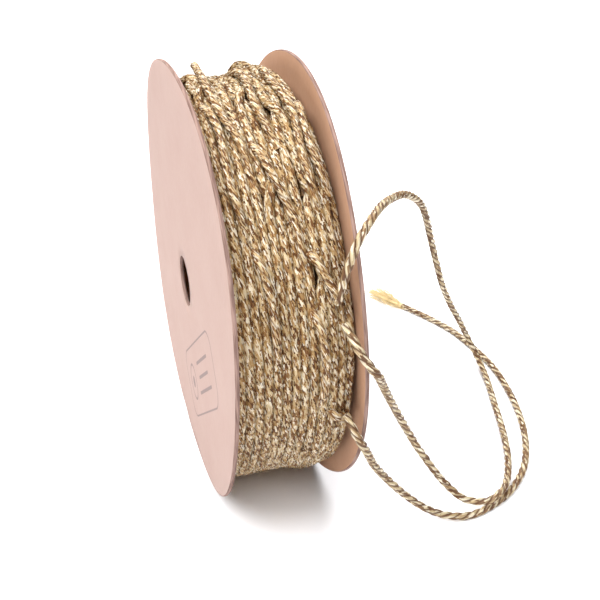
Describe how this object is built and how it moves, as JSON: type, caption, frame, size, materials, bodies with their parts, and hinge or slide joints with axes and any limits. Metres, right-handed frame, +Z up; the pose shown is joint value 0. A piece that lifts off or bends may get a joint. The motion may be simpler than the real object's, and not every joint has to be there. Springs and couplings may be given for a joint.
{
  "type": "decorative cord on a spool",
  "caption": "Metallic twisted gold cord wound on a round kraft board spool that stands on its flanges, with a springy loop and a frayed loose end beside it.",
  "frame": {"origin": "on the floor below the middle of the spool, between the two flanges", "axes": "+X along the spool's axis towards the flange that the loose cord passes over, +Z up, -Y towards the front of the winding"},
  "size_m": [0.0687, 0.0878, 0.0748],
  "materials": {
    "kraft_board": "uncoated kraft paperboard, matt, cut edges",
    "gold_cord": "metallised film and yarn plies twisted together, glinting",
    "frayed_fibre": "loose untwisted fibres, soft sheen"
  },
  "bodies": {
    "root": {"flange_near": "kraft_board", "flange_far": "kraft_board", "core_tube": "kraft_board", "winding": "gold_cord", "cord_loop": "gold_cord", "cord_end": "gold_cord", "frayed_tip": "frayed_fibre"}
  },
  "joints": []
}
